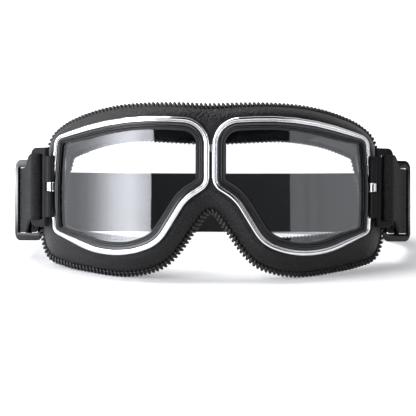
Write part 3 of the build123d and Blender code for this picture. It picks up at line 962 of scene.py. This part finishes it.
class GOGGLES_OT_rims(Operator):
    """Rolled chrome rims: a broad bead, a fine groove and an inner lip"""

    bl_idname = "goggles.rims"
    bl_label = "Chrome rims"

    def execute(self, context):
        metal = chrome_finish(colour("chrome"))
        profile = rounded(RIM_PROFILE, 5)
        repaint("nose_link", metal)
        for side, sign in SIDES:
            rim = eye_ring(f"{side}_rolled_rim", sign, profile)
            cut(rim, hinge_cutter(NOTCH_RADIUS, (sign,), NOTCH_FORWARD))
            settle(rim, "mask", "chrome", metal, f"{side}_rim")
            repaint(f"{side}_hinge_knuckle", metal)
            repaint(f"{side}_hinge_pin", metal)
        return {"FINISHED"}


class GOGGLES_OT_lenses(Operator):
    """Moulded lens frames with a fine ridge, rubber gaskets, back frames and clear lenses"""

    bl_idname = "goggles.lenses"
    bl_label = "Lens frames and lenses"

    def execute(self, context):
        moulded = moulded_finish("lens_frame_black", colour("frame"), 0.16, 2600, 0.00001, 0.6)
        rubber = rubber_finish(colour("gasket"))
        clear = lens_finish(colour("lens"))
        profile = rounded(FRAME_PROFILE, 4)
        for side, sign in SIDES:
            band = eye_ring(f"{side}_ridged_frame", sign, profile)
            settle(band, "mask", "frame_black", moulded, f"{side}_lens_frame")
            lens = self.lens(f"{side}_clear_lens", sign)
            settle(lens, "mask", "lens_clear", clear, f"{side}_lens")
            gasket = eye_ring(f"{side}_lipped_gasket", sign, GASKET_PROFILE)
            settle(gasket, "mask", "gasket_black", rubber, f"{side}_gasket")
            repaint(f"{side}_back_frame", moulded)
        return {"FINISHED"}

    def lens(self, name, sign):
        """A curved sheet: front face, edge and back face, with a closed pole in each face."""
        outline = eye_places(LENS_INSET)
        count = len(outline)
        outward = range(1, LENS_RINGS + 1)
        front, back = FACE_RADIUS, FACE_RADIUS - LENS_THICKNESS
        rows = [(front, ring) for ring in outward] + [(back, ring) for ring in reversed(outward)]
        points = []
        for radius, ring in rows:
            for p in outline:
                place = EYE_MIDDLE.lerp(p, ring / LENS_RINGS)
                points.append((sign * place.x, face_y(radius, place.x), place.y))
        faces = grid_faces(len(rows), count, False, True)
        for radius, base in ((front, 0), (back, (len(rows) - 1) * count)):
            pole = len(points)
            points.append((sign * EYE_MIDDLE.x, face_y(radius, EYE_MIDDLE.x), EYE_MIDDLE.y))
            faces += [(pole, base + (i + 1) % count, base + i) for i in range(count)]
        return new_piece(name, points, faces)


class GOGGLES_OT_leather(Operator):
    """The padded leather front of the mask, drawn in one sheet over the nose and round both eyes"""

    bl_idname = "goggles.leather"
    bl_label = "Leather cover"

    def execute(self, context):
        count = sizes().rows
        mask = StationCurves(count)
        points = [p for share in COVER_SHARES for p in mask.curve(cover_profile, share)]
        wraps = [(column, share) for share in COVER_SHARES for column in range(count)]
        faces = grid_faces(len(COVER_SHARES), count, False, True)
        faces += self.web(points, wraps, count)
        self.ease(points, faces)
        self.crease(points)
        cover = new_piece("laced_leather_cover", points, faces, 70)
        stitches = round(mask.perimeter * MM / sizes().stitch_pitch)
        self.wrap(cover.data, points, wraps, count, stitches)
        thicken(cover, sizes().leather_thickness, 60)
        cut(cover, eye_cutter(*COVER_CUT), 60)
        cut(cover, hinge_cutter(NOTCH_RADIUS + COVER_NOTCH_GAP, (1, -1)), 60)
        hide = leather_finish("grained_leather", colour("leather"), 1050, 0.0007, 0.3, True)
        settle(cover, "mask", "cover_leather", hide, "leather_cover")
        return {"FINISHED"}

    def web(self, points, wraps, count):
        """Joins the cover's inner edge above the nose to its inner edge below, from the middle
        out to both sides, and returns the faces that it took."""
        inner = len(points) - count
        middle = inner + count // 2
        place = {}
        for i in (*range(WEB_COLUMNS + 1), *range(-1, -WEB_COLUMNS - 1, -1)):
            top, low = inner + i % count, middle - i
            place[i, 0], place[i, WEB_ROWS] = top, low
            for r in range(1, WEB_ROWS):
                share = r / WEB_ROWS
                x, flat, z = points[top].lerp(points[low], share)
                rise = face_y(FACE_RADIUS + COVER_RISE, hypot(x, WEB_ROUNDING)) - flat
                place[i, r] = len(points)
                points.append(Vector((x, flat + rise * min(1, WEB_RISE * sin(pi * share)), z)))
                wraps.append(WEB_WRAP)
        return [
            (place[i, r], place[i + 1, r], place[i + 1, r + 1], place[i, r + 1])
            for i in range(-WEB_COLUMNS, WEB_COLUMNS) for r in range(WEB_ROWS)
        ]

    def ease(self, points, faces):
        """Runs the leather over the nose smoothly into the leather above and below it."""
        beside = [set() for _ in points]
        for face in faces:
            for a, b in zip(face, face[1:] + face[:1]):
                beside[a].add(b)
                beside[b].add(a)
        low, high = NOSE_HEIGHTS
        pull = {
            i: NOSE_PULL * (1 - (abs(p.x) / NOSE_REACH) ** 2)
            for i, p in enumerate(points) if abs(p.x) < NOSE_REACH and low < p.z < high
        }
        for _ in range(NOSE_PASSES):
            level = {i: sum(points[j].y for j in beside[i]) / len(beside[i]) for i in pull}
            for i, y in level.items():
                points[i].y += pull[i] * (y - points[i].y)

    def crease(self, points):
        """Pulls the leather down where it is tucked round a rim."""
        outline = eye_outline(0)
        edges = zip(outline, outline[1:] + outline[:1])
        tree = finder([a.lerp(b, t / 4).to_3d() for a, b in edges for t in range(4)])
        for p in points:
            gap = tree.find((abs(p.x), p.z, 0))[2]
            p.y += CREASE_DEPTH * exp(-((gap / CREASE_WIDTH) ** 2))

    def wrap(self, mesh, points, wraps, count, stitches):
        """A UV map: stitches along the seam, and the share of the way to the rim."""
        layer = mesh.uv_layers.new(name="wrap")
        places = [wraps[origin] for origin in origins(mesh, points)]
        for polygon in mesh.polygons:
            corners = [places[mesh.loops[i].vertex_index] for i in polygon.loop_indices]
            columns = [column for column, _ in corners]
            closes = max(columns) - min(columns) > count / 2
            for i, (column, share) in zip(polygon.loop_indices, corners):
                if closes and column == 0:
                    column = count
                layer.data[i].uv = (column / count * stitches, share)


class GOGGLES_OT_cushion(Operator):
    """The foam cushion against the face and the brushed lining over it"""

    bl_idname = "goggles.cushion"
    bl_label = "Face cushion"

    def execute(self, context):
        mask = StationCurves(CUSHION_COLUMNS)
        shares = [step / LINING_STEPS for step in range(LINING_STEPS + 1)]
        points = [p for share in shares for p in mask.curve(lining_profile, share)]
        faces = grid_faces(len(shares), CUSHION_COLUMNS, False, True)
        lining = new_piece("brushed_lining", points, faces, 70)
        thicken(lining, LINING_THICKNESS * MM, 70)
        cloth = brushed_finish("brushed_lining", colour("lining"))
        settle(lining, "mask", "lining_fabric", cloth, "face_lining")

        rows = len(self.section(STATIONS[0]))
        points = [p for i in range(rows) for p in mask.curve(lambda s: self.section(s)[i])]
        pad = new_piece("face_cushion", points, grid_faces(rows, CUSHION_COLUMNS, True, True), 50)
        cut(pad, eye_cutter(*CUSHION_CUT), 50)
        cut(pad, hinge_cutter(NOTCH_RADIUS + CUSHION_NOTCH_GAP, (1, -1)), 50)
        foam = brushed_finish("cushion_foam", scaled(colour("lining"), 1.4))
        settle(pad, "mask", "pad_foam", foam, "face_pad")
        return {"FINISHED"}

    def section(self, station):
        """The cushion's closed section: under the cover, round the back frame, under the lining."""
        under_cover, under_lining = CUSHION_DEPTHS
        front = [cover_profile(station, share, under_cover) for share in CUSHION_FRONT]
        rim_x = station[2] * HALF_WIDTH
        back = max(face_y(BACK_FRAME_RADIUS - BACK_FRAME_GAP, rim_x), 0)
        inner = (front[-1][0], back, front[-1][2])
        behind = max(back - seam_depth(station[0] * HALF_WIDTH), CUSHION_LIP)
        lip = on_section(station, station[4] * HEIGHT - CUSHION_EDGE, behind)
        rear = [lining_profile(station, share, under_lining) for share in CUSHION_REAR]
        return front + [inner, lip] + rear


def lacing_tree():
    """A node group that lays slanted loops of lace round a cord, along a closed path."""
    tree = bpy.data.node_groups.new("lacing", "GeometryNodeTree")
    for name, kind in (
        ("Path", "Geometry"), ("Count", "Int"), ("Core Radius", "Float"), ("Lace Radius", "Float"),
        ("Reach Across", "Float"), ("Reach Through", "Float"), ("Slant", "Float"),
        ("Material", "Material"),
    ):
        tree.interface.new_socket(name, in_out="INPUT", socket_type=f"NodeSocket{kind}")
    tree.interface.new_socket("Lacing", in_out="OUTPUT", socket_type="NodeSocketGeometry")
    maker = Maker(tree)
    entry = tree.nodes.new("NodeGroupInput")

    def given(name):
        return Socket(maker, entry.outputs[name])

    def circle(resolution, radius):
        return maker.node(
            "GeometryNodeCurvePrimitiveCircle", None, {"Resolution": resolution, "Radius": radius},
        )

    def tube(curve, profile):
        return maker.node(
            "GeometryNodeCurveToMesh", None, {"Curve": curve, "Profile Curve": profile},
        )

    path = maker.node("GeometryNodeMeshToCurve", None, {"Mesh": given("Path")})
    core = tube(path, circle(10, given("Core Radius")))
    reach = maker.node(
        "ShaderNodeCombineXYZ", None,
        {"X": given("Reach Across"), "Y": given("Reach Through"), "Z": 1.0},
    )
    oval = maker.node("GeometryNodeTransform", None, {"Geometry": circle(14, 1.0), "Scale": reach})
    upright = maker.node(
        "GeometryNodeTransform", None, {"Geometry": oval, "Rotation": (0, pi / 2, 0)},
    )
    loop = tube(upright, circle(7, given("Lace Radius")))
    spots = maker.node(
        "GeometryNodeCurveToPoints", {"mode": "COUNT"}, {"Curve": path, "Count": given("Count")},
    )
    along = maker.node(
        "FunctionNodeAlignRotationToVector", {"axis": "X"}, {"Vector": spots.beside("Tangent")},
    )
    facing = maker.node(
        "FunctionNodeAlignRotationToVector", {"axis": "Y", "pivot_axis": "X"},
        {"Rotation": along, "Vector": (0.0, -cos(LEAN), sin(LEAN))},
    )
    slant = maker.node("ShaderNodeCombineXYZ", None, {"Y": given("Slant")})
    leaning = maker.node("FunctionNodeEulerToRotation", None, {"Euler": slant})
    slanted = maker.node(
        "FunctionNodeRotateRotation", {"rotation_space": "LOCAL"},
        {"Rotation": facing, "Rotate By": leaning},
    )
    loops = maker.node(
        "GeometryNodeInstanceOnPoints", None,
        {"Points": spots, "Instance": loop, "Rotation": slanted},
    )
    joined = tree.nodes.new("GeometryNodeJoinGeometry")
    tree.links.new(loops.link, joined.inputs[0])
    tree.links.new(core.link, joined.inputs[0])
    real = maker.node("GeometryNodeRealizeInstances", None, {0: Socket(maker, joined.outputs[0])})
    even = maker.node("GeometryNodeSetShadeSmooth", None, {0: real})
    dressed = maker.node(
        "GeometryNodeSetMaterial", None, {"Geometry": even, "Material": given("Material")},
    )
    leave = tree.nodes.new("NodeGroupOutput")
    tree.links.new(dressed.link, leave.inputs[0])
    return tree


def lace_path(name, path, tree, values):
    """A piece made by the lacing group along a closed path of the upright mask's points."""
    mesh = bpy.data.meshes.new(name)
    edges = [(i, (i + 1) % len(path)) for i in range(len(path))]
    mesh.from_pydata([SEAT @ p for p in path], edges, [])
    piece = link(name, mesh)
    modifier = piece.modifiers.new("lacing", "NODES")
    modifier.node_group = tree
    for item in tree.interface.items_tree:
        if item.in_out == "INPUT" and item.name in values:
            modifier[item.identifier] = values[item.name]
    bpy.context.view_layer.update()
    plain_mesh(piece)
    if not piece.data.polygons:
        raise RuntimeError(f"{name}: the lacing came out empty")
    return piece


class GOGGLES_OT_lacing(Operator):
    """Leather lace whipped over the mask's outer seam and over the edge of its opening"""

    bl_idname = "goggles.lacing"
    bl_label = "Laced edges"

    def execute(self, context):
        mask = StationCurves(LACE_COLUMNS)
        tree = lacing_tree()
        hide = leather_finish("lace_leather", scaled(colour("leather"), 1.15), 1900, 0.00012, 0.55)
        seam = mask.curve(on_section, *SEAM_LACE_AT)
        lace = lace_path(
            "seam_whipping", seam, tree,
            {
                "Count": round(mask.perimeter * MM / sizes().stitch_pitch),
                "Core Radius": 0.0009, "Lace Radius": 0.00076,
                "Reach Across": 0.00170, "Reach Through": 0.00095,
                "Slant": sizes().stitch_slant, "Material": hide,
            },
        )
        settle(lace, "mask", "lace_leather", hide, "seam_lace")
        inward, behind = TRIM_LACE_AT
        rim = mask.curve(lambda s: on_section(s, s[4] * HEIGHT + inward, behind))
        length = run_lengths(rim + rim[:1])[-1]
        trim = lace_path(
            "opening_whipping", rim, tree,
            {
                "Count": round(length * MM / sizes().trim_pitch),
                "Core Radius": 0.0007, "Lace Radius": 0.00048,
                "Reach Across": 0.00085, "Reach Through": 0.0008,
                "Slant": -sizes().stitch_slant * 0.6, "Material": hide,
            },
        )
        settle(trim, "mask", "lace_leather", hide, "opening_trim")
        return {"FINISHED"}


class GOGGLES_OT_strap(Operator):
    """The elastic strap: two woven halves from their tails round the bars to the back"""

    bl_idname = "goggles.strap"
    bl_label = "Elastic strap"

    def execute(self, context):
        cloth = woven_finish(colour("strap"))
        for side, sign in SIDES:
            strap = self.strap(f"{side}_elastic", sign)
            settle(strap, None, "strap_elastic", cloth, f"{side}_strap_end", "strap_band")
            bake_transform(strap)
        return {"FINISHED"}

    def section(self):
        """The strap's section as (across, through), with thinned edges."""
        half, thick = STRAP_WIDTH / 2, STRAP_THICKNESS / 2
        flat = half - 2 * STRAP_EDGE
        inner = [-flat + 2 * flat * i / STRAP_COLUMNS for i in range(STRAP_COLUMNS + 1)]
        across = [-half + STRAP_EDGE, *inner, half - STRAP_EDGE]
        edge = [(half, thick * STRAP_ROUNDING), (half, -thick * STRAP_ROUNDING)]
        near, far = [(w, thick) for w in across], [(w, -thick) for w in reversed(across)]
        return near + edge + far + [(-w, -t) for w, t in edge]

    def strap(self, name, sign):
        plan, section = strap_plan(), self.section()
        points, marks = [], []
        for index, (place, run) in enumerate(zip(plan, run_lengths(plan))):
            way = (plan[min(index + 1, len(plan) - 1)] - plan[max(index - 1, 0)]).normalized()
            if index == len(plan) - 1:
                way = Vector((-1, 0))
            square = Vector((way.y, -way.x))
            middle = strap_middle(place.y)
            full, plain = SPREAD_RUN
            spread = 1 + STRAP_SPREAD * (1 - min(max((run - full) / (plain - full), 0), 1))
            for w, t in section:
                spot = place + square * t
                points.append((sign * spot.x, spot.y, middle + w * spread))
                marks.append((run, w if t > 0 else w + 2 * STRAP_WIDTH))
        last = len(points) - len(section)
        faces = grid_faces(len(plan), len(section), False, True)
        faces += [tuple(range(end, end + len(section))) for end in (0, last)]
        strap = new_piece(name, points, faces, 50)
        self.mark(strap.data, points, marks)
        return strap

    def mark(self, mesh, points, marks):
        """A UV map of true lengths in metres, along and across the strap, each face apart."""
        layer = mesh.uv_layers.new(name="webbing")
        places = origins(mesh, points)
        for loop in mesh.loops:
            u, v = marks[places[loop.vertex_index]]
            layer.data[loop.index].uv = (u * MM, v * MM)


class GOGGLES_OT_hardware(Operator):
    """Finishes for the moulded strap brackets, and the lacquered sliders"""

    bl_idname = "goggles.hardware"
    bl_label = "Brackets and sliders"

    def execute(self, context):
        moulded = moulded_finish(
            "bracket_moulding", colour("bracket"), 0.38, 1500, 0.00005, 0.1,
        )
        gloss = lacquer_finish(colour("slider"), (SEAT @ self.middle(1)).z)
        for side, sign in SIDES:
            repaint(f"{side}_bracket", moulded)
            slider = self.slider(f"{side}_adjuster", sign)
            settle(slider, f"{side}_slider_body", "slider_black", gloss, f"{side}_slider")
        return {"FINISHED"}

    def middle(self, sign):
        """The middle of a slider at rest, in mask millimetres."""
        place = BAR + SLIDER_AT * STRAP_WAY
        return Vector((sign * place.x, place.y, HINGE.z - DROOP))

    def slider(self, name, sign):
        """A flat adjuster with two windows and rounded edges, threaded on both layers."""
        middle = self.middle(sign)
        turn = STRAP_ANGLE + SLIDER_TURN
        along = Vector((sign * sin(turn), cos(turn), 0))
        slider = plate(name, middle, along, SLIDER_SIZE, SLIDER_CORNER)
        window = ((SLIDER_SIZE[0] - 3 * SLIDER_BAR) / 2, WINDOW_HEIGHT, WINDOW_DEPTH)
        for way in (-1, 1):
            spot = middle + along * way * (window[0] + SLIDER_BAR) / 2
            cut(slider, plate("window", spot, along, window, WINDOW_CORNER))
        edges = slider.modifiers.new("edges", "BEVEL")
        edges.width, edges.segments = SLIDER_BEVEL * MM, 3
        edges.limit_method, edges.angle_limit = "ANGLE", radians(50)
        apply_modifiers(slider, 30)
        return slider


def softbox(name, spans, rises, glow, colour):
    """A curved softbox a metre from the goggles, unseen by the camera."""
    points, uvs = [], []
    low, high = rises[0][0], rises[-1][0]
    for column in range(SOFTBOX_COLUMNS + 1):
        turn = radians(spans[0] + (spans[1] - spans[0]) * column / SOFTBOX_COLUMNS)
        for height, up in ((low, 0), (high, 1)):
            points.append(SOFTBOX_MIDDLE + Vector((sin(turn), -cos(turn), height)))
            uvs.append((column / SOFTBOX_COLUMNS, up))
    mesh = bpy.data.meshes.new(name)
    columns = range(0, 2 * SOFTBOX_COLUMNS, 2)
    mesh.from_pydata(points, [], [(c, c + 1, c + 3, c + 2) for c in columns])
    layer = mesh.uv_layers.new(name="spread")
    for loop in mesh.loops:
        layer.data[loop.index].uv = uvs[loop.vertex_index]
    material, maker, output = new_material(name)
    across, upward = split_uv(maker, "spread")
    most = max(strength for _, strength in glow)
    spread = [(share, strength / most) for share, strength in glow]
    fall = [((height - low) / (high - low), strength) for height, strength in rises]
    shade = maker.node("ShaderNodeValToRGB", {"stops": spread}, {0: across})
    fading = maker.node("ShaderNodeValToRGB", {"stops": fall}, {0: upward})
    shine = maker.node(
        "ShaderNodeEmission", None, {"Color": (*colour, 1), "Strength": shade * fading * most},
    )
    maker.tree.links.new(shine.link, output.inputs["Surface"])
    mesh.materials.append(material)
    box = link(name, mesh)
    box.visible_camera = False


class GOGGLES_OT_stage(Operator):
    """A pale floor, two tall softboxes with a dark gap between them, a top light and the camera"""

    bl_idname = "goggles.stage"
    bl_label = "Stage, lights and camera"

    def execute(self, context):
        context.scene.view_settings.view_transform = "Standard"
        self.floor()
        self.world(context.scene)
        for name, values in SOFTBOXES.items():
            softbox(name, *values)
        self.top_light()
        self.camera(context.scene)
        return {"FINISHED"}

    def floor(self):
        """White paper that takes a shadow and is lifted to white away from the goggles."""
        mesh = bpy.data.meshes.new("floor")
        low, high = -FLOOR_REACH, FLOOR_REACH
        corners = [(low, low, 0), (high, low, 0), (high, high, 0), (low, high, 0)]
        mesh.from_pydata(corners, [], [(0, 1, 2, 3)])
        material, maker, output = new_material("floor_paper")
        paper = maker.node("ShaderNodeBsdfDiffuse", None, {"Color": (0.8, 0.8, 0.8, 1)})
        camera, glossy, through = ray_kinds(maker, "Camera", "Glossy", "Transmission")
        seen = (camera + glossy + through).clamp() * (1 - glossy * 0.55)
        away = maker.node(
            "ShaderNodeVectorMath", {"operation": "LENGTH"}, {0: object_place(maker)}, "Value",
        )
        strength = seen * (0.24 + 0.76 * away.step(0.12, 0.6))
        lift = maker.node(
            "ShaderNodeEmission", None, {"Color": (1, 1, 1, 1), "Strength": strength},
        )
        both = maker.node("ShaderNodeAddShader", None, {0: paper, 1: lift})
        maker.tree.links.new(both.link, output.inputs["Surface"])
        mesh.materials.append(material)
        link("floor", mesh)

    def world(self, scene):
        """White to the camera, but dark in front, so that the lenses reflect only the softboxes."""
        world = bpy.data.worlds.new("studio")
        scene.world = world
        world.use_nodes = True
        world.node_tree.nodes.clear()
        maker = Maker(world.node_tree)
        camera, through, glossy = ray_kinds(maker, "Camera", "Transmission", "Glossy")
        way = maker.node("ShaderNodeTexCoord", None, None, "Generated")
        rear = split(maker, way)[1].step(0.15, 0.5)
        beyond = (through * (1 - glossy) + glossy * 0.75) * rear
        strength = (camera + beyond + 0.01).clamp()
        ambient = (1 - (camera + through + glossy).clamp()) * 0.12
        sky = maker.node(
            "ShaderNodeBackground", None, {"Color": (1, 1, 1, 1), "Strength": strength + ambient},
        )
        output = world.node_tree.nodes.new("ShaderNodeOutputWorld")
        maker.tree.links.new(sky.link, output.inputs["Surface"])

    def top_light(self):
        data = bpy.data.lights.new("top_light", "AREA")
        data.shape = "RECTANGLE"
        data.size, data.size_y = 0.55, 0.5
        data.energy = 11.0
        lamp = link("top_light", data)
        lamp.location = (-0.34, 0.08, 1.2)
        lamp.rotation_euler = (radians(-3), radians(-15), 0)

    def camera(self, scene):
        data = bpy.data.cameras.new("camera")
        camera = link("camera", data)
        data.sensor_width = 36
        data.lens = CAMERA_LENS_MM
        data.clip_start, data.clip_end = 0.05, 20
        flat = cos(CAMERA_ELEVATION)
        back = Vector((
            sin(CAMERA_AZIMUTH) * flat, -cos(CAMERA_AZIMUTH) * flat, sin(CAMERA_ELEVATION),
        ))
        camera.location = CAMERA_TARGET + back * CAMERA_DISTANCE
        camera.rotation_mode = "QUATERNION"
        camera.rotation_quaternion = (-back).to_track_quat("-Z", "Y")
        scene.camera = camera


class GOGGLES_PT_parts(Panel):
    """Lists the goggles' operators, sizes and colours"""

    bl_label = "Flying goggles"
    bl_idname = "GOGGLES_PT_parts"
    bl_space_type = "VIEW_3D"
    bl_region_type = "UI"
    bl_category = "Goggles"

    def draw(self, context):
        for operator in OPERATORS:
            self.layout.operator(operator.bl_idname)
        for group in (context.scene.goggles_sizes, context.scene.goggles_look):
            box = self.layout.box()
            for name in group.__annotations__:
                box.prop(group, name)


OPERATORS = (
    GOGGLES_OT_rims,
    GOGGLES_OT_lenses,
    GOGGLES_OT_leather,
    GOGGLES_OT_cushion,
    GOGGLES_OT_lacing,
    GOGGLES_OT_strap,
    GOGGLES_OT_hardware,
    GOGGLES_OT_stage,
)
CLASSES = (GogglesLook, GogglesSizes, *OPERATORS, GOGGLES_PT_parts)


def register():
    for item in CLASSES:
        bpy.utils.register_class(item)
    bpy.types.Scene.goggles_look = PointerProperty(type=GogglesLook)
    bpy.types.Scene.goggles_sizes = PointerProperty(type=GogglesSizes)


def unregister():
    del bpy.types.Scene.goggles_sizes
    del bpy.types.Scene.goggles_look
    for item in reversed(CLASSES):
        bpy.utils.unregister_class(item)


def main():
    """Builds the whole part."""
    register()
    for operator in OPERATORS:
        group, name = operator.bl_idname.split(".")
        if getattr(getattr(bpy.ops, group), name)() != {"FINISHED"}:
            raise RuntimeError(f"{operator.bl_label} wasn't finished")


if __name__ == "__main__":
    main()
